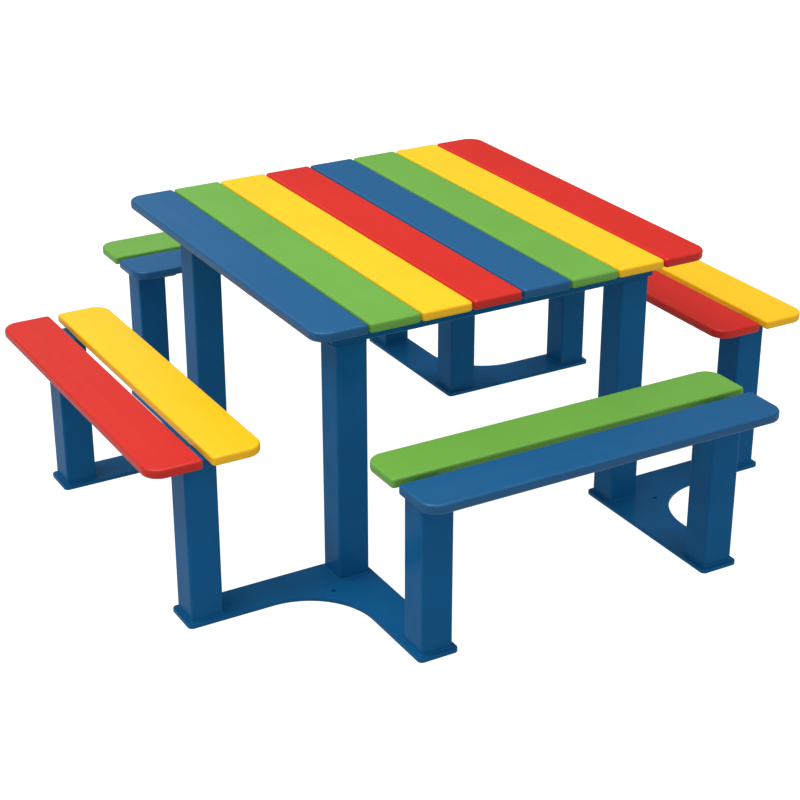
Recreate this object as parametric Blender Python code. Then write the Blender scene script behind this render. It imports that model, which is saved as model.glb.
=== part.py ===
"""Children's outdoor picnic table: a square slatted top and four fixed two-plank benches.

Steel tube legs stand on four L-shaped ground plates. Metres, +Z up, origin on the ground at the
middle of the table. X runs along the front bench, and the table planks run along Y.
"""

import math

import bmesh
import bpy

# Heights
TABLE_HEIGHT = 0.5255
SEAT_HEIGHT = 0.330

# Planks
PLANK_THICKNESS = 0.018
PLANK_WIDTH = 0.098
TABLE_PLANK_COUNT = 8
TABLE_PLANK_GAP = 0.003
TABLE_SIDE = TABLE_PLANK_COUNT * PLANK_WIDTH + (TABLE_PLANK_COUNT - 1) * TABLE_PLANK_GAP
BENCH_PLANK_GAP = 0.0165
BENCH_LENGTH = 0.720
BIG_CORNER_RADIUS = 0.032
SMALL_CORNER_RADIUS = 0.006
PLANK_EDGE_RADIUS = 0.005

# Legs, placed by the distance of their centre lines from the middle of the table
LEG_SIDE = 0.060
LEG_WALL = 0.003
LEG_CORNER_RADIUS = 0.004
LEG_OFFSET = 0.296
BENCH_OFFSET = 0.584

# Ground plates
GROUND_PLATE_THICKNESS = 0.008
PLATE_MARGIN = 0.0085
GROUND_PLATE_CORNER_RADIUS = 0.009
NOTCH_RADIUS = 0.128
ANCHOR_OFFSET = 0.352
ANCHOR_HOLE_RADIUS = 0.004

# Table frame: a cross beam over each pair of legs, with a flat rail on it that carries the planks
BEAM_HEIGHT = 0.040
BEAM_WALL = 0.0025
BEAM_OVERHANG = 0.008
BEAM_LENGTH = 2 * (LEG_OFFSET + LEG_SIDE / 2 + BEAM_OVERHANG)
RAIL_THICKNESS = 0.006
RAIL_LENGTH = 0.782
ACCESS_HOLE_RADIUS = 0.010

# Bench brackets: a flat plate across the top of each bench leg
BRACKET_THICKNESS = 0.006
BRACKET_LENGTH = 0.186
FLAT_BAR_CORNER_RADIUS = 0.005

# Bolts, from below, through the steel and into a blind hole in each plank
BOLT_RADIUS = 0.004
BOLT_HEAD_RADIUS = 0.008
BOLT_HEAD_HEIGHT = 0.0045
BOLT_HEAD_RIM_HEIGHT = 0.0018
BOLT_HEAD_FLAT_RADIUS = 0.0048
BOLT_INTO_PLANK = 0.010
BOLT_HOLE_RADIUS = BOLT_RADIUS + 0.0005
BOLT_TIP_ROOM = 0.001
BENCH_BOLT_OFFSET = BENCH_PLANK_GAP / 2 + PLANK_WIDTH / 2

# Gap between pieces that touch, and how far a cutter runs past the surface that it cuts
GAP = 0.0003
CUT_MARGIN = 0.005

# Facets: segments in a quarter turn, and sides of a round piece
BIG_CORNER_STEPS = 6
SMALL_CORNER_STEPS = 2
TUBE_CORNER_STEPS = 3
EDGE_STEPS = 3
NOTCH_STEPS = 12
ROUND_SIDES = 12

# Edges that turn by more than this many degrees stay crisp on a bolt
SHARP_ANGLE = 40

TABLE_UNDERSIDE = TABLE_HEIGHT - PLANK_THICKNESS
SEAT_UNDERSIDE = SEAT_HEIGHT - PLANK_THICKNESS
RAIL_BOTTOM = TABLE_UNDERSIDE - RAIL_THICKNESS
BEAM_BOTTOM = RAIL_BOTTOM - BEAM_HEIGHT
BRACKET_BOTTOM = SEAT_UNDERSIDE - BRACKET_THICKNESS

PLANK_COLOURS = {
    "blue": (0.036, 0.147, 0.337),
    "green": (0.209, 0.515, 0.095),
    "yellow": (1.0, 0.730, 0.033),
    "red": (0.780, 0.046, 0.034),
}
STEEL_BLUE = (0.006, 0.062, 0.156)
BOLT_STEEL = (0.55, 0.55, 0.55)
PLANK_ROUGHNESS = 0.45
COATED_ROUGHNESS = 0.3
BOLT_ROUGHNESS = 0.35
TABLE_COLOUR_ORDER = ("blue", "green", "yellow", "red")

# Colour of the plank away from the table and of the one next to it, for each bench
BENCHES = {
    "left": ("red", "yellow"),
    "right": ("yellow", "red"),
    "front": ("blue", "green"),
    "back": ("green", "blue"),
}


def clear_scene():
    for item in list(bpy.data.objects):
        bpy.data.objects.remove(item, do_unlink=True)


def make_material(name, colour, roughness, metallic):
    material = bpy.data.materials.new(name)
    material.use_nodes = True
    shader = material.node_tree.nodes["Principled BSDF"]
    shader.inputs["Base Color"].default_value = (*colour, 1.0)
    shader.inputs["Roughness"].default_value = roughness
    shader.inputs["Metallic"].default_value = metallic
    return material


def add_object(name, mesh, material, location=(0.0, 0.0, 0.0), turn=0.0):
    item = bpy.data.objects.new(name, mesh)
    item.location = location
    item.rotation_euler = (0.0, 0.0, turn)
    item.data.materials.append(material)
    bpy.context.scene.collection.objects.link(item)
    return item


def arc(centre, radius, start, end, steps):
    """Points on an arc from start to end, in degrees, both ends included."""
    angles = [math.radians(start + (end - start) * i / steps) for i in range(steps + 1)]
    return [(centre[0] + radius * math.cos(a), centre[1] + radius * math.sin(a)) for a in angles]


def rounded_rectangle(half_x, half_y, radii, steps):
    """Outline, anticlockwise from the corner at +X +Y; radii and steps go corner by corner."""
    signs = ((1, 1), (-1, 1), (-1, -1), (1, -1))
    outline = []
    for corner, (sign_x, sign_y) in enumerate(signs):
        radius = radii[corner]
        centre = (sign_x * (half_x - radius), sign_y * (half_y - radius))
        outline += arc(centre, radius, 90 * corner, 90 * corner + 90, steps[corner])
    return outline


def circle(centre, radius, sides=ROUND_SIDES):
    return arc(centre, radius, 0, 360 - 360 / sides, sides - 1)


def prism(name, outline, bottom, top):
    """Closed solid with the outline as its plan, between two heights."""
    shape = bmesh.new()
    floor = shape.faces.new([shape.verts.new((x, y, bottom)) for x, y in outline])
    raised = bmesh.ops.extrude_face_region(shape, geom=[floor])
    lifted = [v for v in raised["geom"] if isinstance(v, bmesh.types.BMVert)]
    bmesh.ops.translate(shape, verts=lifted, vec=(0.0, 0.0, top - bottom))
    bmesh.ops.recalc_face_normals(shape, faces=shape.faces)
    mesh = bpy.data.meshes.new(name)
    shape.to_mesh(mesh)
    shape.free()
    return mesh


def add_hole(item, name, centre, radius, bottom, top):
    """Round vertical hole through an object, at a centre in world coordinates."""
    cutter = bpy.data.objects.new(name, prism(name, circle((0.0, 0.0), radius), bottom, top))
    cutter.location = (*centre, 0.0)
    cutter.hide_render = True
    cutter.display_type = "WIRE"
    bpy.context.scene.collection.objects.link(cutter)
    modifier = item.modifiers.new(name, "BOOLEAN")
    modifier.operation = "DIFFERENCE"
    modifier.solver = "EXACT"
    modifier.object = cutter


def stacked_rings(name, rings):
    """Closed solid through rings of points, lowest first, all with the same number of points."""
    shape = bmesh.new()
    loops = [[shape.verts.new(point) for point in ring] for ring in rings]
    for lower, upper in zip(loops, loops[1:]):
        for i in range(len(lower)):
            j = (i + 1) % len(lower)
            shape.faces.new((lower[i], lower[j], upper[j], upper[i]))
    shape.faces.new(list(reversed(loops[0])))
    shape.faces.new(loops[-1])
    mesh = bpy.data.meshes.new(name)
    shape.to_mesh(mesh)
    shape.free()
    return mesh


def plank_mesh(name, length, corner_radii):
    """Plank along Y, from z = 0 up, with rounded corners and softened long and end edges."""
    steps = [BIG_CORNER_STEPS if r == BIG_CORNER_RADIUS else SMALL_CORNER_STEPS for r in corner_radii]
    low = arc((PLANK_EDGE_RADIUS, PLANK_EDGE_RADIUS), PLANK_EDGE_RADIUS, 270, 180, EDGE_STEPS)
    high = [(inset, PLANK_THICKNESS - height) for inset, height in reversed(low)]
    rings = []
    for inset, height in low + high:
        radii = [r - inset for r in corner_radii]
        outline = rounded_rectangle(PLANK_WIDTH / 2 - inset, length / 2 - inset, radii, steps)
        rings.append([(x, y, height) for x, y in outline])
    return stacked_rings(name, rings)


def corner_radii(round_right, round_left):
    """Corner radii from +X +Y round, with the big radius on the chosen long sides."""
    right = BIG_CORNER_RADIUS if round_right else SMALL_CORNER_RADIUS
    left = BIG_CORNER_RADIUS if round_left else SMALL_CORNER_RADIUS
    return (right, left, left, right)


def table_plank_centre(index):
    pitch = PLANK_WIDTH + TABLE_PLANK_GAP
    return (index - (TABLE_PLANK_COUNT - 1) / 2) * pitch


def add_table_planks(materials):
    last = TABLE_PLANK_COUNT - 1
    for index in range(TABLE_PLANK_COUNT):
        colour = TABLE_COLOUR_ORDER[index % len(TABLE_COLOUR_ORDER)]
        name = f"table_plank_{index + 1}_{colour}"
        mesh = plank_mesh(name, TABLE_SIDE, corner_radii(index == last, index == 0))
        centre = table_plank_centre(index)
        plank = add_object(name, mesh, materials[colour], (centre, 0.0, TABLE_UNDERSIDE))
        for end in (-1, 1):
            drill_plank(plank, f"table_hole_{index}_{end}", (centre, end * LEG_OFFSET), TABLE_UNDERSIDE)


def drill_plank(plank, name, centre, underside):
    """Blind hole from below for a bolt."""
    top = underside + BOLT_INTO_PLANK + BOLT_TIP_ROOM
    add_hole(plank, name, centre, BOLT_HOLE_RADIUS, underside - CUT_MARGIN, top)


def bench_axes(side):
    """Unit vectors of a bench: away from the table, and along the bench."""
    away = {"left": (-1, 0), "right": (1, 0), "front": (0, -1), "back": (0, 1)}[side]
    return away, (-away[1], away[0])


def bench_point(side, out, along):
    """World place at a distance out from the middle of the table and along the bench."""
    away, run = bench_axes(side)
    return (out * away[0] + along * run[0], out * away[1] + along * run[1])


def bench_turn(side):
    """Turn about Z that takes local +X to the direction away from the table."""
    away, _ = bench_axes(side)
    return math.atan2(away[1], away[0])


def add_bench_planks(side, materials):
    outer_colour, inner_colour = BENCHES[side]
    rows = (("outer", outer_colour, 1), ("inner", inner_colour, -1))
    for place, colour, sign in rows:
        name = f"{side}_bench_{place}_plank_{colour}"
        mesh = plank_mesh(name, BENCH_LENGTH, corner_radii(sign > 0, sign < 0))
        out = BENCH_OFFSET + sign * BENCH_BOLT_OFFSET
        centre = bench_point(side, out, 0.0)
        plank = add_object(name, mesh, materials[colour], (*centre, SEAT_UNDERSIDE), bench_turn(side))
        for end in (-1, 1):
            hole = bench_point(side, out, end * LEG_OFFSET)
            drill_plank(plank, f"{name}_hole_{end}", hole, SEAT_UNDERSIDE)


def tube_mesh(name, length):
    """Square tube along Z, open at both ends, starting at z = 0."""
    outer = leg_section(0.0)
    inner = leg_section(LEG_WALL)
    return ring_prism(name, outer, inner, 0.0, length)


def leg_section(inset):
    half = LEG_SIDE / 2 - inset
    radius = LEG_CORNER_RADIUS - inset
    return rounded_rectangle(half, half, (radius,) * 4, (TUBE_CORNER_STEPS,) * 4)


def ring_prism(name, outer, inner, bottom, top):
    """Solid between two outlines with the same number of points, open through its middle."""
    shape = bmesh.new()
    loops = {}
    for key, outline, height in (
        ("outer_low", outer, bottom),
        ("outer_high", outer, top),
        ("inner_high", inner, top),
        ("inner_low", inner, bottom),
    ):
        loops[key] = [shape.verts.new((x, y, height)) for x, y in outline]
    order = ("outer_low", "outer_high", "inner_high", "inner_low", "outer_low")
    for first, second in zip(order, order[1:]):
        a, b = loops[first], loops[second]
        for i in range(len(a)):
            j = (i + 1) % len(a)
            shape.faces.new((a[i], a[j], b[j], b[i]))
    bmesh.ops.recalc_face_normals(shape, faces=shape.faces)
    mesh = bpy.data.meshes.new(name)
    shape.to_mesh(mesh)
    shape.free()
    return mesh


def corner_name(sign_x, sign_y):
    depth = "front" if sign_y < 0 else "back"
    side = "left" if sign_x < 0 else "right"
    return f"{depth}_{side}"


CORNERS = ((-1, -1), (1, -1), (1, 1), (-1, 1))


def add_legs(steel):
    bottom = GROUND_PLATE_THICKNESS + GAP
    table_tube = tube_mesh("table_leg_tube", BEAM_BOTTOM - GAP - bottom)
    for sign_x, sign_y in CORNERS:
        name = f"table_leg_{corner_name(sign_x, sign_y)}"
        add_object(name, table_tube, steel, (sign_x * LEG_OFFSET, sign_y * LEG_OFFSET, bottom))
    bench_tube = tube_mesh("bench_leg_tube", BRACKET_BOTTOM - GAP - bottom)
    for side in BENCHES:
        for number, end in enumerate((-1, 1), start=1):
            place = bench_point(side, BENCH_OFFSET, end * LEG_OFFSET)
            add_object(f"{side}_bench_leg_{number}", bench_tube, steel, (*place, bottom))


def ground_plate_outline():
    """L-shaped plan for the corner at +X +Y: two arms, and a concave quarter circle between them."""
    half = LEG_SIDE / 2
    low = LEG_OFFSET - half - PLATE_MARGIN
    high = LEG_OFFSET + half + PLATE_MARGIN
    end = BENCH_OFFSET + half + PLATE_MARGIN
    r = GROUND_PLATE_CORNER_RADIUS
    steps = TUBE_CORNER_STEPS
    notch = high + NOTCH_RADIUS
    outline = arc((low + r, low + r), r, 180, 270, steps)
    outline += arc((end - r, low + r), r, 270, 360, steps)
    outline += arc((end - r, high - r), r, 0, 90, steps)
    outline += arc((notch, notch), NOTCH_RADIUS, 270, 180, NOTCH_STEPS)
    outline += arc((high - r, end - r), r, 0, 90, steps)
    outline += arc((low + r, end - r), r, 90, 180, steps)
    return outline


def add_ground_plates(steel):
    outline = ground_plate_outline()
    for sign_x, sign_y in CORNERS:
        name = f"ground_plate_{corner_name(sign_x, sign_y)}"
        placed = [(sign_x * x, sign_y * y) for x, y in outline]
        plate = add_object(name, prism(name, placed, 0.0, GROUND_PLATE_THICKNESS), steel)
        centre = (sign_x * ANCHOR_OFFSET, sign_y * ANCHOR_OFFSET)
        top = GROUND_PLATE_THICKNESS + CUT_MARGIN
        add_hole(plate, f"anchor_{name}", centre, ANCHOR_HOLE_RADIUS, -CUT_MARGIN, top)


def beam_mesh(name):
    """Rectangular tube along X, open at both ends, centred on its own middle."""
    half_width = LEG_SIDE / 2
    half_height = (BEAM_HEIGHT - GAP) / 2
    radius = LEG_CORNER_RADIUS
    steps = (TUBE_CORNER_STEPS,) * 4
    outer = rounded_rectangle(half_width, half_height, (radius,) * 4, steps)
    inner_radius = radius - BEAM_WALL
    inner = rounded_rectangle(half_width - BEAM_WALL, half_height - BEAM_WALL, (inner_radius,) * 4, steps)
    mesh = ring_prism(name, outer, inner, -BEAM_LENGTH / 2, BEAM_LENGTH / 2)
    for vertex in mesh.vertices:
        width, height, along = vertex.co
        vertex.co = (along, width, height)
    return mesh


def bolted_through_beam(index):
    """Whether the bolt of this table plank passes through the cross beam."""
    return abs(table_plank_centre(index)) < BEAM_LENGTH / 2


def flat_bar_mesh(name, length, thickness):
    """Flat bar as wide as a leg, along X, with its underside at z = 0."""
    steps = (SMALL_CORNER_STEPS,) * 4
    plan = rounded_rectangle(length / 2, LEG_SIDE / 2, (FLAT_BAR_CORNER_RADIUS,) * 4, steps)
    return prism(name, plan, 0.0, thickness - GAP)


def add_slat_rail(place, y, steel):
    name = f"slat_rail_{place}"
    rail = add_object(name, flat_bar_mesh(name, RAIL_LENGTH, RAIL_THICKNESS), steel, (0.0, y, RAIL_BOTTOM))
    low, high = RAIL_BOTTOM - CUT_MARGIN, TABLE_UNDERSIDE + CUT_MARGIN
    for index in range(TABLE_PLANK_COUNT):
        centre = (table_plank_centre(index), y)
        add_hole(rail, f"rail_hole_{place}_{index}", centre, BOLT_HOLE_RADIUS, low, high)


def add_cross_beam(place, y, steel):
    """Tube over a pair of legs, with a bolt hole in its top wall and an access hole below it."""
    name = f"cross_beam_{place}"
    middle = BEAM_BOTTOM + (BEAM_HEIGHT - GAP) / 2
    low, high = BEAM_BOTTOM - CUT_MARGIN, RAIL_BOTTOM + CUT_MARGIN
    beam = add_object(name, beam_mesh(name), steel, (0.0, y, middle))
    for index in filter(bolted_through_beam, range(TABLE_PLANK_COUNT)):
        centre = (table_plank_centre(index), y)
        add_hole(beam, f"beam_hole_{place}_{index}", centre, BOLT_HOLE_RADIUS, middle, high)
        add_hole(beam, f"access_{place}_{index}", centre, ACCESS_HOLE_RADIUS, low, middle)


def add_table_frame(steel):
    for place, sign in (("front", -1), ("back", 1)):
        add_cross_beam(place, sign * LEG_OFFSET, steel)
        add_slat_rail(place, sign * LEG_OFFSET, steel)


def add_bench_brackets(side, steel):
    low, high = BRACKET_BOTTOM - CUT_MARGIN, SEAT_UNDERSIDE + CUT_MARGIN
    for number, end in enumerate((-1, 1), start=1):
        name = f"{side}_bench_bracket_{number}"
        mesh = flat_bar_mesh(name, BRACKET_LENGTH, BRACKET_THICKNESS)
        place = bench_point(side, BENCH_OFFSET, end * LEG_OFFSET)
        bracket = add_object(name, mesh, steel, (*place, BRACKET_BOTTOM), bench_turn(side))
        for sign in (-1, 1):
            centre = bench_point(side, BENCH_OFFSET + sign * BENCH_BOLT_OFFSET, end * LEG_OFFSET)
            add_hole(bracket, f"{name}_hole_{sign}", centre, BOLT_HOLE_RADIUS, low, high)


def bolt_mesh(name, seat_height):
    """Bolt with its head's flat at the seat height and its shank reaching up into the plank."""
    levels = (
        (BOLT_HEAD_FLAT_RADIUS, seat_height - BOLT_HEAD_HEIGHT),
        (BOLT_HEAD_RADIUS, seat_height - BOLT_HEAD_RIM_HEIGHT),
        (BOLT_HEAD_RADIUS, seat_height),
        (BOLT_RADIUS, seat_height),
        (BOLT_RADIUS, TABLE_UNDERSIDE + BOLT_INTO_PLANK),
    )
    rings = [[(x, y, height) for x, y in circle((0.0, 0.0), radius)] for radius, height in levels]
    mesh = stacked_rings(name, rings)
    mesh.shade_smooth()
    mesh.set_sharp_from_angle(angle=math.radians(SHARP_ANGLE))
    return mesh


def add_table_bolts(bolt_steel):
    inside_beam = bolt_mesh("bolt_inside_beam", RAIL_BOTTOM - BEAM_WALL - 2 * GAP)
    under_rail = bolt_mesh("bolt_under_rail", RAIL_BOTTOM - GAP)
    for place, sign in (("front", -1), ("back", 1)):
        for index in range(TABLE_PLANK_COUNT):
            mesh = inside_beam if bolted_through_beam(index) else under_rail
            centre = (table_plank_centre(index), sign * LEG_OFFSET, 0.0)
            add_object(f"table_bolt_{place}_{index + 1}", mesh, bolt_steel, centre)


def main():
    clear_scene()
    planks = {}
    for name, colour in PLANK_COLOURS.items():
        planks[name] = make_material(f"plank_{name}", colour, PLANK_ROUGHNESS, metallic=0.0)
    steel = make_material("steel_blue_powder_coat", STEEL_BLUE, COATED_ROUGHNESS, metallic=0.0)
    bolt_steel = make_material("bolt_stainless_steel", BOLT_STEEL, BOLT_ROUGHNESS, metallic=1.0)
    add_ground_plates(steel)
    add_legs(steel)
    add_table_frame(steel)
    add_table_planks(planks)
    for side in BENCHES:
        add_bench_brackets(side, steel)
        add_bench_planks(side, planks)
    add_table_bolts(bolt_steel)


main()
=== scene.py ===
import math

import bmesh
import bpy
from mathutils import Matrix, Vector


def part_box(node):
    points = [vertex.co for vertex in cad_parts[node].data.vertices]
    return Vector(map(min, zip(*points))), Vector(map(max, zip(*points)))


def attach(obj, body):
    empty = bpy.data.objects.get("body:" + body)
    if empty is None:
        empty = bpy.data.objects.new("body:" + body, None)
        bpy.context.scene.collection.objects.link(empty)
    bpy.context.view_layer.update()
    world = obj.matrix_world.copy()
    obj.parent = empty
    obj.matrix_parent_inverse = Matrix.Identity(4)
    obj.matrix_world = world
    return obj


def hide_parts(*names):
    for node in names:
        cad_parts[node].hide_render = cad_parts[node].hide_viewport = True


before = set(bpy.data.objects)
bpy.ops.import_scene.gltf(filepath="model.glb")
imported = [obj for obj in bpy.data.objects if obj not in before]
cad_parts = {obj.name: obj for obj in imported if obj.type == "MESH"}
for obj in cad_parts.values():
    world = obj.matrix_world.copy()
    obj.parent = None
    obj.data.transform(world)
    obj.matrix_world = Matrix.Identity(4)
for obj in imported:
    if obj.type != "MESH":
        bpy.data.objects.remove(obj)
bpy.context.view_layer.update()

# Looks of a children's picnic table with four fixed benches. Metres, +Z up, -Y is the front.
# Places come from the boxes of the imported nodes. The sizes below are those the boxes don't give.

# Planks
PLANK_BIG_CORNER = 0.032
PLANK_SMALL_CORNER = 0.006
PLANK_EDGE_RADIUS = 0.005

# Steel sections
TUBE_CORNER = 0.004
TUBE_WALL = 0.003
BEAM_WALL = 0.0025
FLAT_CORNER = 0.005
STEEL_EDGE_RADIUS = 0.0009
JOINT_GAP = 0.0003
CUT_MARGIN = 0.001

# Ground plates
NOTCH_RADIUS = 0.128
PLATE_ARM_WIDTH = 0.077
PLATE_CORNER = 0.009
ANCHOR_OFFSET = 0.352
ANCHOR_RADIUS = 0.004
ANCHOR_CHAMFER = 0.0004

# Cross beam details
ACCESS_RADIUS = 0.010
END_CAP_THICKNESS = 0.003
END_CAP_RECESS = 0.0008
END_CAP_CLEARANCE = 0.0002
END_CAP_ROUNDING = 0.3

# Bolts: a domed head with a flange and a hexagonal socket
BOLT_SHANK_RADIUS = 0.004
BOLT_HEAD_RADIUS = 0.0066
BOLT_FLANGE_RADIUS = 0.008
BOLT_FLANGE_HEIGHT = 0.0012
BOLT_HEAD_HEIGHT = 0.0045
BOLT_DOME_RADII = (0.0042, 0.0053, 0.0060, BOLT_HEAD_RADIUS)
BOLT_SOCKET_RADIUS = 0.0029
BOLT_SOCKET_FLOOR_RADIUS = 0.0026
BOLT_SOCKET_DEPTH = 0.0028
BOLT_FLANGE_CHAMFER = 0.0003
BOLT_TIP_CHAMFER = 0.0008
BOLT_LENGTH_IN_PLANK = 0.010

# Weld beads; the leg drifts in width over several ripples, and a straight bead tapers at its ends
WELD_LEG = 0.0030
WELD_RIPPLE = 0.0002
WELD_RIPPLE_PITCH = 0.0036
WELD_DRIFT = 0.0002
WELD_DRIFT_RIPPLES = 7.3
WELD_SINK = 0.0004
WELD_HOLLOW = 0.72
WELD_END_SIZE = 0.45
WELD_TAPER_RATE = 12

# Segments in a quarter turn, points round a circle, and rings in each weld ripple
BIG_STEPS = 18
SMALL_STEPS = 5
TUBE_STEPS = 8
EDGE_STEPS = 5
NOTCH_STEPS = 40
WELD_CORNER_STEPS = 12
WELD_SECTION_STEPS = 5
WELD_RIPPLE_RINGS = 5
BOLT_SIDES = 36
HOLE_SIDES = 40
SHANK_HOLE_SIDES = 20

# The strip beside each rounded edge that keeps flat faces flat, and the angle that stays sharp
SUPPORT = 0.0006
SHARP_ANGLE = 35

# Colours, as linear red, green and blue
COLOURS = {
    "blue": (0.0026, 0.0895, 0.230),
    "green": (0.1345, 0.360, 0.0475),
    "yellow": (0.970, 0.520, 0.0025),
    "red": (0.582, 0.0125, 0.0045),
}
STEEL_BLUE = (0.0068, 0.109, 0.283)
BRIGHTEST = 0.98

# Board surface. A scale is in features per metre, a depth is in metres, and a pair is a range.
BOARD_CLOUD_SCALE = 7.0
BOARD_CLOUD_TINTS = (0.965, 1.035)
BOARD_STREAK_SCALE = 260.0
BOARD_STREAK_STRETCH = 0.02
BOARD_STREAK_DEPTH = 0.00003
BOARD_STREAK_SHARE = 0.35
BOARD_STREAK_TINT = 0.93
BOARD_WEAR_SCALE = 60.0
BOARD_WEAR_SHARE = 0.35
BOARD_WEAR_WHITENING = 0.02
BOARD_ROUGHNESS = (0.30, 0.42)
BOARD_ROUGHNESS_SCALE = 35.0
BOARD_SPECULAR = 0.35
BOARD_GRAIN_SCALE = 1100.0
BOARD_GRAIN_DEPTH = 0.00006
BOARD_WAVE_SCALE = 9.0
BOARD_WAVE_DEPTH = 0.0004

# Powder coat
COAT_CLOUD_SCALE = 11.0
COAT_CLOUD_TINTS = (0.94, 1.06)
COAT_WEAR_SCALE = 90.0
COAT_WEAR_SHARE = 0.5
COAT_WEAR_TINT = 0.7
COAT_ROUGHNESS = (0.16, 0.24)
COAT_ROUGHNESS_SCALE = 25.0
COAT_SPECULAR = 0.05
COAT_PEEL_SCALE = 420.0
COAT_PEEL_DEPTH = 0.00008
COAT_WAVE_SCALE = 14.0
COAT_WAVE_DEPTH = 0.0003

# Where the product of an arris's wear and its noise counts as fully worn
FULL_WEAR = 0.6

# Stainless steel
STAINLESS_COOL = (0.50, 0.50, 0.51)
STAINLESS_WARM = (0.62, 0.61, 0.59)
STAINLESS_CLOUD_SCALE = 300.0
STAINLESS_ROUGHNESS = (0.24, 0.42)
STAINLESS_ROUGHNESS_SCALE = 1500.0
STAINLESS_MARK_SCALE = 2500.0
STAINLESS_MARK_STRETCH = (1.0, 1.0, 4.0)
STAINLESS_MARK_DEPTH = 0.00003

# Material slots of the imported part; a board's slot is its prefix and its colour
STEEL_SLOT = "steel_tube_and_plate"
BOLT_SLOT = "bolt_stainless_steel"
PLANK_SLOT_PREFIX = "plank_"

# Where the benches and the corners of the table are, as signs of X and Y
BENCH_SIDES = {"left": (-1, 0), "right": (1, 0), "front": (0, -1), "back": (0, 1)}
CORNERS = {
    "front_left": (-1, -1),
    "front_right": (1, -1),
    "back_left": (-1, 1),
    "back_right": (1, 1),
}

# Floor and world. Each glow has three strengths: as it lights things, as it shows in glossy
# things, and as the camera sees it.
FLOOR_HALF = 20.0
FLOOR_DROP = 0.0005
FLOOR_COLOUR = (0.20, 0.20, 0.20)
FLOOR_ROUGHNESS = 0.9
FLOOR_GLOW = 0.355
FLOOR_GLOW_MIRRORED = 0.38
FLOOR_GLOW_SEEN = 1.0
WORLD_STRENGTH = 0.72
WORLD_STRENGTH_MIRRORED = 0.17
WORLD_STRENGTH_SEEN = 1.0
WHITE = (1.0, 1.0, 1.0, 1.0)

# Square area lights, all aimed at one point: place, side and power
LIGHT_TARGET = (0.0, 0.0, 0.3)
LIGHTS = {
    "top_light": ((0.0, 0.0, 4.5), 2.6, 80.5),
    "left_light": ((-2.1, 0.0, 3.94), 2.0, 70.0),
    "back_light": ((0.0, 3.64, 2.4), 2.6, 5.4),
}

# Camera, by the direction it looks from and the point that it looks at
CAMERA_AZIMUTH = -29.897
CAMERA_ELEVATION = 24.904
CAMERA_DISTANCE = 3.72
CAMERA_TARGET = (-0.0057, 0.0160, 0.1513)
CAMERA_LENS = 84.84
CAMERA_SENSOR = 36.0


# ---------------------------------------------------------------------------- mesh building

def finish_mesh(shape, name):
    """Mesh from a bmesh, facing outward, smooth except across sharp edges."""
    bmesh.ops.recalc_face_normals(shape, faces=shape.faces)
    mesh = bpy.data.meshes.new(name)
    shape.to_mesh(mesh)
    shape.free()
    mesh.shade_smooth()
    mesh.set_sharp_from_angle(angle=math.radians(SHARP_ANGLE))
    return mesh


def loft(name, rings, wear=None, closed=False):
    """Solid through rings of points. Its ends are capped, or the last ring meets the first.

    wear has one value for each ring, which the materials read as the edge attribute.
    """
    shape = bmesh.new()
    layer = shape.verts.layers.float.new("edge")
    loops = []
    for index, ring in enumerate(rings):
        loop = [shape.verts.new(point) for point in ring]
        for vertex in loop:
            vertex[layer] = wear[index] if wear else 0.0
        loops.append(loop)
    pairs = list(zip(loops, loops[1:]))
    if closed:
        pairs.append((loops[-1], loops[0]))
    for lower, upper in pairs:
        for i in range(len(lower)):
            j = (i + 1) % len(lower)
            shape.faces.new((lower[i], lower[j], upper[j], upper[i]))
    if not closed:
        shape.faces.new(list(reversed(loops[0])))
        shape.faces.new(loops[-1])
    return finish_mesh(shape, name)


def arc(centre, radius, start, end, steps):
    """Points along an arc from a start to an end angle in degrees, both included."""
    angles = [math.radians(start + (end - start) * i / steps) for i in range(steps + 1)]
    return [(centre[0] + radius * math.cos(a), centre[1] + radius * math.sin(a)) for a in angles]


def circle(centre, radius, sides):
    return arc(centre, radius, 0, 360 - 360 / sides, sides - 1)


def with_support(points, start, end):
    """Adds a point just before and just after an arc, along the straight sides that it joins.

    start and end are the directions of travel at the arc's two ends, in radians.
    """
    first, last = Vector(points[0]), Vector(points[-1])
    before = first - SUPPORT * Vector((math.cos(start), math.sin(start)))
    after = last + SUPPORT * Vector((math.cos(end), math.sin(end)))
    return [tuple(before)] + points + [tuple(after)]


def rounded_outline(low, high, radii, steps, inset=0.0):
    """Rectangle with rounded corners, anticlockwise from the corner at +X +Y."""
    signs = ((1, 1), (-1, 1), (-1, -1), (1, -1))
    outline = []
    for corner, (sign_x, sign_y) in enumerate(signs):
        radius = radii[corner]
        x = high[0] - radius if sign_x > 0 else low[0] + radius
        y = high[1] - radius if sign_y > 0 else low[1] + radius
        turn = 90 * corner
        points = arc((x, y), radius - inset, turn, turn + 90, steps[corner])
        start, end = math.radians(turn + 90), math.radians(turn + 180)
        outline += with_support(points, start, end)
    return outline


def edge_profile(radius, bottom, top):
    """(inset, height, wear) of each ring of a slab with rounded lower and upper edges."""
    lower = [(radius + SUPPORT, bottom, 0.0)]
    for i in range(EDGE_STEPS + 1):
        angle = math.pi / 2 * i / EDGE_STEPS
        inset = radius * (1 - math.sin(angle))
        height = bottom + radius * (1 - math.cos(angle))
        lower.append((inset, height, math.sin(2 * angle)))
    lower.append((0.0, bottom + radius + SUPPORT, 0.0))
    upper = [(inset, bottom + top - height, wear) for inset, height, wear in reversed(lower)]
    return lower + upper


def slab(name, low, high, radii, steps, edge_radius):
    """Flat board or bar with rounded corners in plan and rounded edges."""
    rings, wear = [], []
    for inset, height, value in edge_profile(edge_radius, low[2], high[2]):
        outline = rounded_outline(low, high, radii, steps, inset)
        rings.append([(x, y, height) for x, y in outline])
        wear.append(value)
    return loft(name, rings, wear)


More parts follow.
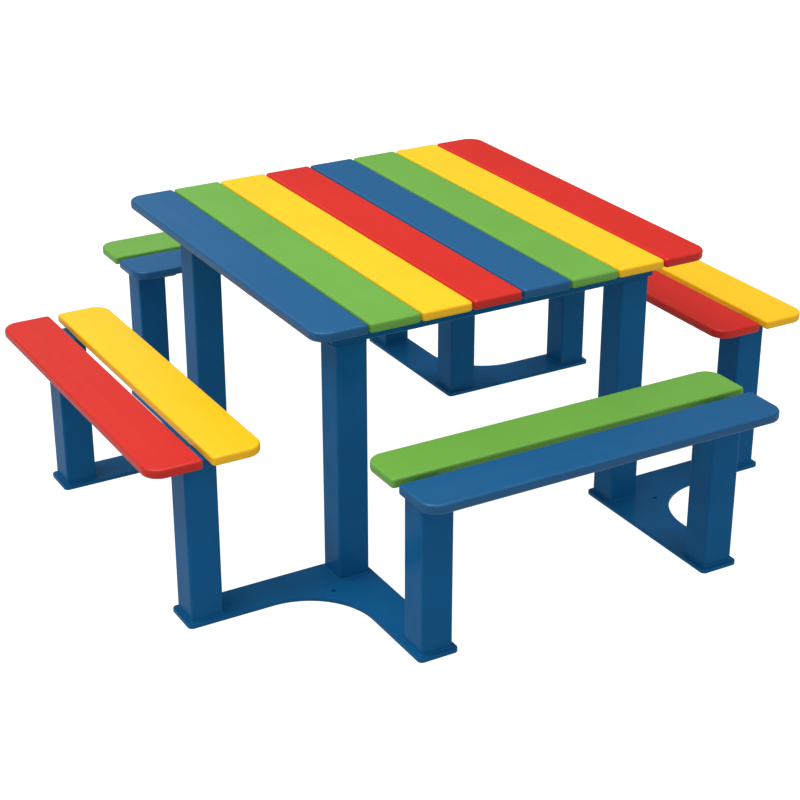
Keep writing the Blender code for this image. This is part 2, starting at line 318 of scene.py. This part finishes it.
def add_piece(name, mesh, material, slot, *nodes):
    """Piece in the row frame, riding on the one body and standing for the nodes given."""
    piece = bpy.data.objects.new(name, mesh)
    mesh.materials.append(material)
    bpy.context.scene.collection.objects.link(piece)
    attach(piece, "root")
    if nodes:
        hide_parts(*nodes)
    return piece


def cut_holes(mesh, cutters):
    """Copy of a mesh with the cutter meshes taken out of it."""
    target = bpy.data.objects.new("cut_target", mesh)
    bpy.context.scene.collection.objects.link(target)
    tools = []
    for cutter in cutters:
        tool = bpy.data.objects.new("cutter", cutter)
        bpy.context.scene.collection.objects.link(tool)
        modifier = target.modifiers.new("cut", "BOOLEAN")
        modifier.operation = "DIFFERENCE"
        modifier.solver = "EXACT"
        modifier.object = tool
        tools.append(tool)
    graph = bpy.context.evaluated_depsgraph_get()
    result = bpy.data.meshes.new_from_object(target.evaluated_get(graph))
    result.name = mesh.name
    for item in [target] + tools:
        bpy.data.objects.remove(item)
    result.set_sharp_from_angle(angle=math.radians(SHARP_ANGLE))
    return result


def round_cutter(centre, stations, sides=HOLE_SIDES):
    """Turned cutter on a vertical axis, through (radius, height) stations, lowest first."""
    rings = []
    for radius, height in stations:
        rings.append([(x, y, height) for x, y in circle(centre, radius, sides)])
    return loft("cutter", rings)


# ---------------------------------------------------------------------------- materials

def new_material(name):
    """A material, its node tree and its Principled BSDF."""
    material = bpy.data.materials.new(name)
    material.use_nodes = True
    return material, material.node_tree, material.node_tree.nodes["Principled BSDF"]


def noise(tree, scale, detail, stretch=(1.0, 1.0, 1.0)):
    """Factor of a noise texture in the row frame; scale is in features per metre."""
    coordinates = tree.nodes.new("ShaderNodeTexCoord")
    mapping = tree.nodes.new("ShaderNodeMapping")
    mapping.inputs["Scale"].default_value = stretch
    texture = tree.nodes.new("ShaderNodeTexNoise")
    texture.inputs["Scale"].default_value = scale
    texture.inputs["Detail"].default_value = detail
    tree.links.new(coordinates.outputs["Object"], mapping.inputs["Vector"])
    tree.links.new(mapping.outputs["Vector"], texture.inputs["Vector"])
    return texture.outputs["Fac"]


def remap(tree, factor, low, high, from_low=0.3, from_high=0.7):
    """Factor stretched to a new range. The default range is what a noise texture mostly gives."""
    node = tree.nodes.new("ShaderNodeMapRange")
    node.inputs["From Min"].default_value = from_low
    node.inputs["From Max"].default_value = from_high
    node.inputs["To Min"].default_value = low
    node.inputs["To Max"].default_value = high
    tree.links.new(factor, node.inputs["Value"])
    return node.outputs["Result"]


def multiply(tree, first, second):
    node = tree.nodes.new("ShaderNodeMath")
    node.operation = "MULTIPLY"
    for socket, value in zip(node.inputs, (first, second)):
        if isinstance(value, (int, float)):
            socket.default_value = value
        else:
            tree.links.new(value, socket)
    return node.outputs["Value"]


def mix_colour(tree, factor, first, second):
    node = tree.nodes.new("ShaderNodeMix")
    node.data_type = "RGBA"
    tree.links.new(factor, node.inputs["Factor"])
    for socket, value in ((node.inputs["A"], first), (node.inputs["B"], second)):
        if isinstance(value, tuple):
            socket.default_value = (*value, 1.0)
        else:
            tree.links.new(value, socket)
    return node.outputs["Result"]


def tint(colour, amount):
    """Colour scaled by an amount, kept below full white."""
    return tuple(min(BRIGHTEST, channel * amount) for channel in colour)


def bump(tree, shader, heights):
    """Chains bumps, each a (factor, depth in metres)."""
    previous = None
    for factor, depth in heights:
        node = tree.nodes.new("ShaderNodeBump")
        node.inputs["Strength"].default_value = 1.0
        node.inputs["Distance"].default_value = depth
        tree.links.new(factor, node.inputs["Height"])
        if previous:
            tree.links.new(previous, node.inputs["Normal"])
        previous = node.outputs["Normal"]
    tree.links.new(previous, shader.inputs["Normal"])


def worn_edges(tree, scale, detail, share):
    """Factor that is patchy along the rounded edges, up to a share, and nil on flat faces."""
    patches = noise(tree, scale, detail)
    attribute = tree.nodes.new("ShaderNodeAttribute")
    attribute.attribute_name = "edge"
    wear = multiply(tree, attribute.outputs["Fac"], patches)
    return remap(tree, wear, 0.0, share, 0.0, FULL_WEAR)


def plank_material(name, colour, along_x):
    """Through-coloured plastic board: fine haircell surface, faint streaks along its length."""
    material, tree, shader = new_material(name)
    lengthways = (BOARD_STREAK_STRETCH, 1.0, 1.0) if along_x else (1.0, BOARD_STREAK_STRETCH, 1.0)
    cloud = remap(tree, noise(tree, BOARD_CLOUD_SCALE, 3.0), 0.0, 1.0)
    body = mix_colour(tree, cloud, *(tint(colour, amount) for amount in BOARD_CLOUD_TINTS))
    streaks = noise(tree, BOARD_STREAK_SCALE, 2.0, lengthways)
    drawn = remap(tree, streaks, 0.0, BOARD_STREAK_SHARE)
    body = mix_colour(tree, drawn, body, tint(colour, BOARD_STREAK_TINT))
    worn = worn_edges(tree, BOARD_WEAR_SCALE, 4.0, BOARD_WEAR_SHARE)
    pale = tuple(channel + BOARD_WEAR_WHITENING * (1.0 - channel) for channel in colour)
    body = mix_colour(tree, worn, body, pale)
    tree.links.new(body, shader.inputs["Base Color"])
    rough = remap(tree, noise(tree, BOARD_ROUGHNESS_SCALE, 4.0, lengthways), *BOARD_ROUGHNESS)
    tree.links.new(rough, shader.inputs["Roughness"])
    shader.inputs["Specular IOR Level"].default_value = BOARD_SPECULAR
    bump(tree, shader, [
        (noise(tree, BOARD_GRAIN_SCALE, 2.0), BOARD_GRAIN_DEPTH),
        (streaks, BOARD_STREAK_DEPTH),
        (noise(tree, BOARD_WAVE_SCALE, 2.0), BOARD_WAVE_DEPTH),
    ])
    return material


def steel_material(name):
    """Glossy powder coat: fine orange peel, slight cloudiness, a thinner film on the arrises."""
    material, tree, shader = new_material(name)
    cloud = remap(tree, noise(tree, COAT_CLOUD_SCALE, 3.0), 0.0, 1.0)
    body = mix_colour(tree, cloud, *(tint(STEEL_BLUE, amount) for amount in COAT_CLOUD_TINTS))
    thin = worn_edges(tree, COAT_WEAR_SCALE, 3.0, COAT_WEAR_SHARE)
    body = mix_colour(tree, thin, body, tint(STEEL_BLUE, COAT_WEAR_TINT))
    tree.links.new(body, shader.inputs["Base Color"])
    rough = remap(tree, noise(tree, COAT_ROUGHNESS_SCALE, 3.0), *COAT_ROUGHNESS)
    tree.links.new(rough, shader.inputs["Roughness"])
    shader.inputs["Specular IOR Level"].default_value = COAT_SPECULAR
    bump(tree, shader, [
        (noise(tree, COAT_PEEL_SCALE, 2.0), COAT_PEEL_DEPTH),
        (noise(tree, COAT_WAVE_SCALE, 2.0), COAT_WAVE_DEPTH),
    ])
    return material


def bolt_material(name):
    """Stainless steel with fine turning marks and a slight warm and cool tint."""
    material, tree, shader = new_material(name)
    cloud = remap(tree, noise(tree, STAINLESS_CLOUD_SCALE, 3.0), 0.0, 1.0)
    body = mix_colour(tree, cloud, STAINLESS_COOL, STAINLESS_WARM)
    tree.links.new(body, shader.inputs["Base Color"])
    shader.inputs["Metallic"].default_value = 1.0
    rough = remap(tree, noise(tree, STAINLESS_ROUGHNESS_SCALE, 3.0), *STAINLESS_ROUGHNESS)
    tree.links.new(rough, shader.inputs["Roughness"])
    marks = noise(tree, STAINLESS_MARK_SCALE, 2.0, STAINLESS_MARK_STRETCH)
    bump(tree, shader, [(marks, STAINLESS_MARK_DEPTH)])
    return material


steel = steel_material("powder_coat_blue")
bolt_steel = bolt_material("stainless_steel")
plank_materials = {}
for colour_name, colour_value in COLOURS.items():
    for runs_along_x in (False, True):
        label = f"board_{colour_name}_{'x' if runs_along_x else 'y'}"
        board = plank_material(label, colour_value, runs_along_x)
        plank_materials[colour_name, runs_along_x] = board


# ---------------------------------------------------------------------------- planks

def round_sides(node):
    """Directions towards the long sides of a plank that have big corners."""
    if node == "table_plank_1_blue":
        return [(-1, 0)]
    if node == "table_plank_8_red":
        return [(1, 0)]
    if node.startswith("table"):
        return []
    side, _, place = node.split("_")[:3]
    x, y = BENCH_SIDES[side]
    return [(x, y)] if place == "outer" else [(-x, -y)]


def plank_corners(node):
    """Corner radii from +X +Y, anticlockwise, with the segments of each."""
    radii, steps = [], []
    for sign_x, sign_y in ((1, 1), (-1, 1), (-1, -1), (1, -1)):
        big = any(sign_x * x + sign_y * y > 0 for x, y in round_sides(node))
        radii.append(PLANK_BIG_CORNER if big else PLANK_SMALL_CORNER + SUPPORT)
        steps.append(BIG_STEPS if big else SMALL_STEPS)
    return radii, steps


def add_plank(node):
    low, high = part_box(node)
    radii, steps = plank_corners(node)
    colour = node.split("_")[-1]
    material = plank_materials[colour, high[0] - low[0] > high[1] - low[1]]
    mesh = slab(f"{node}_board", low, high, radii, steps, PLANK_EDGE_RADIUS)
    add_piece(f"{node}_board", mesh, material, PLANK_SLOT_PREFIX + colour, node)


# ---------------------------------------------------------------------------- steel

def tube_rings(low, high, wall, radius, bottom, top):
    """Rings up the outside of an upright square tube and down its inside."""
    outer = rounded_outline(low, high, (radius,) * 4, (TUBE_STEPS,) * 4)
    inner_low = (low[0] + wall, low[1] + wall)
    inner_high = (high[0] - wall, high[1] - wall)
    inner = rounded_outline(inner_low, inner_high, (radius - wall,) * 4, (TUBE_STEPS,) * 4)
    return [
        [(x, y, bottom) for x, y in outer],
        [(x, y, top) for x, y in outer],
        [(x, y, top) for x, y in inner],
        [(x, y, bottom) for x, y in inner],
    ]


def add_leg(node):
    low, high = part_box(node)
    bottom, top = low[2] - JOINT_GAP, high[2] + JOINT_GAP
    rings = tube_rings(low, high, TUBE_WALL, TUBE_CORNER, bottom, top)
    mesh = loft(f"{node}_tube", rings, closed=True)
    add_piece(f"{node}_tube", mesh, steel, STEEL_SLOT, node)


def square_path(low, high, radius):
    """(x, y, outward x, outward y, distance along) round a leg, evenly spaced."""
    corners = rounded_outline(low, high, (radius,) * 4, (WELD_CORNER_STEPS,) * 4)
    points = [Vector(p) for p in corners]
    lengths = [(points[(i + 1) % len(points)] - p).length for i, p in enumerate(points)]
    total = sum(lengths)
    count = int(total / WELD_RIPPLE_PITCH) * WELD_RIPPLE_RINGS
    path, index, passed = [], 0, 0.0
    for step in range(count):
        target = total * step / count
        while passed + lengths[index] < target:
            passed += lengths[index]
            index += 1
        start, end = points[index], points[(index + 1) % len(points)]
        along = (end - start).normalized()
        place = start + along * (target - passed)
        path.append((place.x, place.y, along.y, -along.x, target))
    return path


def bead_section(size, ripple):
    """(out, up) points of a slightly hollow fillet, from the plate up to the leg."""
    points = [(-WELD_SINK, -WELD_SINK), (size, -WELD_SINK)]
    bulge = WELD_HOLLOW * size + ripple
    for i in range(WELD_SECTION_STEPS + 1):
        angle = math.pi / 2 * i / WELD_SECTION_STEPS
        out = size - bulge * math.sin(angle)
        up = size - bulge * math.cos(angle)
        points.append((max(out, 0.0), max(up, 0.0)))
    points.append((-WELD_SINK, size))
    return points


def foot_weld(name, low, high, level):
    """Ring of weld round the foot of a tube that stands at a level."""
    rings = []
    for x, y, out_x, out_y, distance in square_path(low, high, TUBE_CORNER):
        phase = 2 * math.pi * distance / WELD_RIPPLE_PITCH
        drift = WELD_DRIFT * math.sin(phase / WELD_DRIFT_RIPPLES)
        size = WELD_LEG + drift + WELD_RIPPLE * abs(math.sin(phase / 2))
        ring = []
        for out, rise in bead_section(size, WELD_RIPPLE * math.sin(phase)):
            ring.append((x + out * out_x, y + out * out_y, level + rise))
        rings.append(ring)
    return loft(name, rings, closed=True)


def plate_outline(sign_x, sign_y, low, high, inset):
    """L-shaped plan: two arms along X and Y with a hollow quarter circle between them."""
    near = min(abs(low[0]), abs(high[0]))
    far = max(abs(low[0]), abs(high[0]))
    arm = near + PLATE_ARM_WIDTH
    r = PLATE_CORNER
    bend = arm + NOTCH_RADIUS
    parts = [
        arc((near + r, near + r), r - inset, 180, 270, SMALL_STEPS),
        arc((far - r, near + r), r - inset, 270, 360, SMALL_STEPS),
        arc((far - r, arm - r), r - inset, 0, 90, SMALL_STEPS),
        arc((bend, bend), NOTCH_RADIUS + inset, 270, 180, NOTCH_STEPS),
        arc((arm - r, far - r), r - inset, 0, 90, SMALL_STEPS),
        arc((near + r, far - r), r - inset, 90, 180, SMALL_STEPS),
    ]
    return [(sign_x * x, sign_y * y) for part in parts for x, y in part]


def add_ground_plate(node, sign_x, sign_y):
    low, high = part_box(node)
    rings, wear = [], []
    for inset, height, value in edge_profile(STEEL_EDGE_RADIUS, low[2], high[2]):
        outline = plate_outline(sign_x, sign_y, low, high, inset)
        rings.append([(x, y, height) for x, y in outline])
        wear.append(value)
    mesh = loft(f"{node}_plate", rings, wear)
    centre = (sign_x * ANCHOR_OFFSET, sign_y * ANCHOR_OFFSET)
    cutter = round_cutter(centre, [
        (ANCHOR_RADIUS, low[2] - CUT_MARGIN),
        (ANCHOR_RADIUS, high[2] - ANCHOR_CHAMFER),
        (ANCHOR_RADIUS + ANCHOR_CHAMFER + CUT_MARGIN, high[2] + CUT_MARGIN),
    ])
    mesh = cut_holes(mesh, [cutter])
    add_piece(f"{node}_plate", mesh, steel, STEEL_SLOT, node)


def add_flat_bar(node):
    low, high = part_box(node)
    radii, steps = (FLAT_CORNER,) * 4, (SMALL_STEPS,) * 4
    mesh = slab(f"{node}_bar", low, high, radii, steps, STEEL_EDGE_RADIUS)
    add_piece(f"{node}_bar", mesh, steel, STEEL_SLOT, node)


def beam_section(low, high, inset, radius):
    """Section of a beam as (y, z) points, inset by a wall thickness."""
    corner_low = (low[1] + inset, low[2] + inset)
    corner_high = (high[1] - inset, high[2] - inset)
    return rounded_outline(corner_low, corner_high, (radius,) * 4, (TUBE_STEPS,) * 4)


def bolt_centres(place):
    """(node, centre, level of the flat under the head) of each table bolt of a row."""
    found = []
    for number in range(1, 9):
        node = f"table_bolt_{place}_{number}"
        low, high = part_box(node)
        found.append((node, (low + high) / 2, low[2] + BOLT_HEAD_HEIGHT))
    return found


def add_cross_beam(place):
    node = f"cross_beam_{place}"
    low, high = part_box(node)
    outer = beam_section(low, high, 0.0, TUBE_CORNER)
    inner = beam_section(low, high, BEAM_WALL, TUBE_CORNER - BEAM_WALL)
    rings = []
    for outline, x in ((outer, low[0]), (outer, high[0]), (inner, high[0]), (inner, low[0])):
        rings.append([(x, y, z) for y, z in outline])
    mesh = loft(f"{node}_tube", rings, closed=True)
    bottom, middle, top = low[2] - CUT_MARGIN, (low[2] + high[2]) / 2, high[2] + CUT_MARGIN
    shank = BOLT_SHANK_RADIUS + JOINT_GAP
    cutters = []
    for _, centre, _ in bolt_centres(place):
        if low[0] < centre.x < high[0]:
            spot = (centre.x, centre.y)
            access = [(ACCESS_RADIUS, bottom), (ACCESS_RADIUS, middle)]
            cutters.append(round_cutter(spot, access))
            cutters.append(round_cutter(spot, [(shank, middle), (shank, top)], SHANK_HOLE_SIDES))
    mesh = cut_holes(mesh, cutters)
    add_piece(f"{node}_tube", mesh, steel, STEEL_SLOT, node)
    for label, x, sign in (("left", low[0], -1), ("right", high[0], 1)):
        add_end_cap(f"beam_end_cap_{place}_{label}", low, high, x, sign)


def add_end_cap(name, low, high, end, sign):
    """Closing plate let into the end of a cross beam."""
    outside = end - sign * END_CAP_RECESS
    inside = outside - sign * END_CAP_THICKNESS
    edge = STEEL_EDGE_RADIUS
    eased = END_CAP_ROUNDING * edge
    stations = (
        (inside, 0.0),
        (outside - sign * edge, 0.0),
        (outside - sign * eased, eased),
        (outside, edge),
    )
    rings = []
    for x, inset in stations:
        shrink = BEAM_WALL + END_CAP_CLEARANCE + inset
        radius = TUBE_CORNER - shrink
        rings.append([(x, y, z) for y, z in beam_section(low, high, shrink, radius)])
    add_piece(name, loft(name, rings), steel, STEEL_SLOT)


# ---------------------------------------------------------------------------- bolts

def hexagon(centre, radius, sides):
    """Hexagon with a given number of points, so that it can join a round ring of as many."""
    points = []
    for i in range(sides):
        angle = 2 * math.pi * i / sides
        within = angle % (math.pi / 3) - math.pi / 6
        reach = radius / math.cos(within)
        points.append((centre[0] + reach * math.cos(angle), centre[1] + reach * math.sin(angle)))
    return points


def bolt_mesh(name, x, y, seat, tip):
    """Bolt with its flange's flat at the seat height, the head below and the shank above."""
    floor = seat - BOLT_HEAD_HEIGHT
    flange = seat - BOLT_FLANGE_HEIGHT
    stations = []
    for index, radius in enumerate(BOLT_DOME_RADII):
        rise = (flange - floor) * (index / (len(BOLT_DOME_RADII) - 1)) ** 2
        stations.append((radius, floor + rise))
    stations += [
        (BOLT_FLANGE_RADIUS - BOLT_FLANGE_CHAMFER, flange),
        (BOLT_FLANGE_RADIUS, flange + BOLT_FLANGE_CHAMFER),
        (BOLT_FLANGE_RADIUS, seat),
        (BOLT_SHANK_RADIUS, seat),
        (BOLT_SHANK_RADIUS, tip - BOLT_TIP_CHAMFER),
        (BOLT_SHANK_RADIUS - BOLT_TIP_CHAMFER, tip),
    ]
    rings = []
    socket = ((BOLT_SOCKET_FLOOR_RADIUS, floor + BOLT_SOCKET_DEPTH), (BOLT_SOCKET_RADIUS, floor))
    for outline, sections in ((hexagon, socket), (circle, stations)):
        for radius, height in sections:
            rings.append([(px, py, height) for px, py in outline((x, y), radius, BOLT_SIDES)])
    return loft(name, rings)


def add_table_bolts(place):
    for node, centre, seat in bolt_centres(place):
        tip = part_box(node)[1][2]
        mesh = bolt_mesh(f"{node}_screw", centre.x, centre.y, seat, tip)
        add_piece(f"{node}_screw", mesh, bolt_steel, BOLT_SLOT, node)


def plank_nodes_of(side):
    return [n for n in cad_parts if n.startswith(f"{side}_bench") and "plank" in n]


def add_bench_bolts(side):
    """A bolt from below through each bracket into each of the two planks."""
    for bracket_number in (1, 2):
        low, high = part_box(f"{side}_bench_bracket_{bracket_number}")
        bracket = (low + high) / 2
        for node in plank_nodes_of(side):
            plank_low, plank_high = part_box(node)
            plank = (plank_low + plank_high) / 2
            across_x = BENCH_SIDES[side][0] != 0
            x, y = (plank.x, bracket.y) if across_x else (bracket.x, plank.y)
            place = "outer" if "outer" in node else "inner"
            name = f"{side}_bench_bolt_{place}_{bracket_number}"
            seat, tip = low[2] - JOINT_GAP, plank_low[2] + BOLT_LENGTH_IN_PLANK
            add_piece(name, bolt_mesh(name, x, y, seat, tip), bolt_steel, BOLT_SLOT)


# ---------------------------------------------------------------------------- welds

def straight_bead(name, start, end, out, up, size):
    """Closed fillet bead along a line, with its two legs along out and up."""
    start, end = Vector(start), Vector(end)
    along = end - start
    length = along.length
    count = int(length / WELD_RIPPLE_PITCH) * WELD_RIPPLE_RINGS
    rings = []
    for step in range(count + 1):
        share = step / count
        phase = 2 * math.pi * share * length / WELD_RIPPLE_PITCH
        taper = min(1.0, WELD_TAPER_RATE * min(share, 1 - share) + WELD_END_SIZE)
        reach = taper * (size + WELD_RIPPLE * abs(math.sin(phase / 2)))
        base = start + along * share
        section = bead_section(reach, taper * WELD_RIPPLE * math.sin(phase))
        rings.append([tuple(base + Vector(out) * o + Vector(up) * u) for o, u in section])
    return loft(name, rings)


def add_table_leg_welds(corner, sign_x, sign_y):
    node = f"table_leg_{corner}"
    low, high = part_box(node)
    plate_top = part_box(f"ground_plate_{corner}")[1][2]
    name = f"weld_foot_{node}"
    add_piece(name, foot_weld(name, low, high, plate_top), steel, STEEL_SLOT)
    beam_floor = high[2] + JOINT_GAP
    for label, x, sign in (("left", low[0], -1), ("right", high[0], 1)):
        start = (x, low[1] + TUBE_CORNER, beam_floor)
        end = (x, high[1] - TUBE_CORNER, beam_floor)
        name = f"weld_top_{node}_{label}"
        mesh = straight_bead(name, start, end, (sign, 0, 0), (0, 0, -1), WELD_LEG)
        add_piece(name, mesh, steel, STEEL_SLOT)
    add_flush_weld(node, low, high, low[1], -1, beam_floor)
    add_flush_weld(node, low, high, high[1], 1, beam_floor)


def add_flush_weld(node, low, high, face, sign, beam_floor):
    """Weld ground flush in the groove between a leg's top and the beam's rounded lower edge."""
    sink = JOINT_GAP
    centre = (face - sign * TUBE_CORNER, beam_floor + TUBE_CORNER)
    section = [(face, beam_floor - 2 * sink), (face, beam_floor + TUBE_CORNER + sink)]
    for y, z in arc((0.0, 0.0), TUBE_CORNER - sink, 0, -90, TUBE_STEPS):
        section.append((centre[0] + sign * y, centre[1] + z))
    section.append((centre[0], beam_floor - 2 * sink))
    rings = [[(x, y, z) for y, z in section] for x in (low[0] + TUBE_CORNER, high[0] - TUBE_CORNER)]
    name = f"weld_flush_{node}_{'front' if sign < 0 else 'back'}"
    add_piece(name, loft(name, rings), steel, STEEL_SLOT)


def add_bench_leg_welds(side, number):
    node = f"{side}_bench_leg_{number}"
    low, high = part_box(node)
    foot = f"weld_foot_{node}"
    add_piece(foot, foot_weld(foot, low, high, low[2] - JOINT_GAP), steel, STEEL_SLOT)
    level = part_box(f"{side}_bench_bracket_{number}")[0][2]
    across = 0 if BENCH_SIDES[side][0] else 1
    for label, face, sign in (("inner", low, -1), ("outer", high, 1)):
        start = [low[0], low[1], level]
        end = [high[0], high[1], level]
        start[across] = face[across]
        end[across] = face[across]
        start[1 - across] += TUBE_CORNER
        end[1 - across] -= TUBE_CORNER
        out = [0, 0, 0]
        out[across] = sign
        name = f"weld_top_{node}_{label}"
        mesh = straight_bead(name, start, end, out, (0, 0, -1), WELD_LEG)
        add_piece(name, mesh, steel, STEEL_SLOT)


for plank_node in [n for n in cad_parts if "plank" in n]:
    add_plank(plank_node)
for leg_node in [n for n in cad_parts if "_leg_" in n]:
    add_leg(leg_node)
for corner_label, (corner_x, corner_y) in CORNERS.items():
    add_ground_plate(f"ground_plate_{corner_label}", corner_x, corner_y)
    add_table_leg_welds(corner_label, corner_x, corner_y)
for bar_node in [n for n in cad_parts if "bracket" in n or "slat_rail" in n]:
    add_flat_bar(bar_node)
for row_place in ("front", "back"):
    add_cross_beam(row_place)
    add_table_bolts(row_place)
for bench_side in BENCH_SIDES:
    add_bench_bolts(bench_side)
    for leg_number in (1, 2):
        add_bench_leg_welds(bench_side, leg_number)


# ---------------------------------------------------------------------------- stage

def glow_strength(tree, lighting, mirrored, seen):
    """Strength of a glow as it lights things, as it shows in glossy things, and as it is seen."""
    path = tree.nodes.new("ShaderNodeLightPath")
    strength = lighting
    for output, value in (("Is Glossy Ray", mirrored), ("Is Camera Ray", seen)):
        node = tree.nodes.new("ShaderNodeMix")
        node.data_type = "FLOAT"
        node.inputs["B"].default_value = value
        tree.links.new(path.outputs[output], node.inputs["Factor"])
        if isinstance(strength, float):
            node.inputs["A"].default_value = strength
        else:
            tree.links.new(strength, node.inputs["A"])
        strength = node.outputs["Result"]
    return strength


def add_floor():
    """Pale glowing floor, like a light table, so that no shadow shows on it."""
    shape = bmesh.new()
    corners = ((-1, -1), (1, -1), (1, 1), (-1, 1))
    points = [(FLOOR_HALF * x, FLOOR_HALF * y, -FLOOR_DROP) for x, y in corners]
    shape.faces.new([shape.verts.new(point) for point in points])
    mesh = bpy.data.meshes.new("floor")
    shape.to_mesh(mesh)
    shape.free()
    floor = bpy.data.objects.new("floor", mesh)
    material, tree, shader = new_material("pale_floor")
    shader.inputs["Base Color"].default_value = (*FLOOR_COLOUR, 1.0)
    shader.inputs["Roughness"].default_value = FLOOR_ROUGHNESS
    shader.inputs["Specular IOR Level"].default_value = 0.0
    shader.inputs["Emission Color"].default_value = WHITE
    strength = glow_strength(tree, FLOOR_GLOW, FLOOR_GLOW_MIRRORED, FLOOR_GLOW_SEEN)
    tree.links.new(strength, shader.inputs["Emission Strength"])
    mesh.materials.append(material)
    bpy.context.scene.collection.objects.link(floor)


def add_area_light(name, location, size, power):
    data = bpy.data.lights.new(name, "AREA")
    data.shape = "SQUARE"
    data.size = size
    data.energy = power
    light = bpy.data.objects.new(name, data)
    light.location = location
    aim = Vector(LIGHT_TARGET) - Vector(location)
    light.rotation_euler = aim.to_track_quat("-Z", "Y").to_euler()
    bpy.context.scene.collection.objects.link(light)


def add_world():
    world = bpy.data.worlds.new("studio")
    world.use_nodes = True
    tree = world.node_tree
    background = tree.nodes["Background"]
    background.inputs["Color"].default_value = WHITE
    strength = glow_strength(tree, WORLD_STRENGTH, WORLD_STRENGTH_MIRRORED, WORLD_STRENGTH_SEEN)
    tree.links.new(strength, background.inputs["Strength"])
    bpy.context.scene.world = world


def add_camera():
    azimuth = math.radians(CAMERA_AZIMUTH)
    elevation = math.radians(CAMERA_ELEVATION)
    back = Vector((
        math.sin(azimuth) * math.cos(elevation),
        -math.cos(azimuth) * math.cos(elevation),
        math.sin(elevation),
    ))
    data = bpy.data.cameras.new("camera")
    data.lens = CAMERA_LENS
    data.sensor_width = CAMERA_SENSOR
    camera = bpy.data.objects.new("camera", data)
    camera.location = Vector(CAMERA_TARGET) + CAMERA_DISTANCE * back
    camera.rotation_euler = (-back).to_track_quat("-Z", "Y").to_euler()
    bpy.context.scene.collection.objects.link(camera)
    bpy.context.scene.camera = camera


add_floor()
add_world()
for light_name, (light_place, light_side, light_power) in LIGHTS.items():
    add_area_light(light_name, light_place, light_side, light_power)
add_camera()
bpy.context.scene.view_settings.view_transform = "Standard"
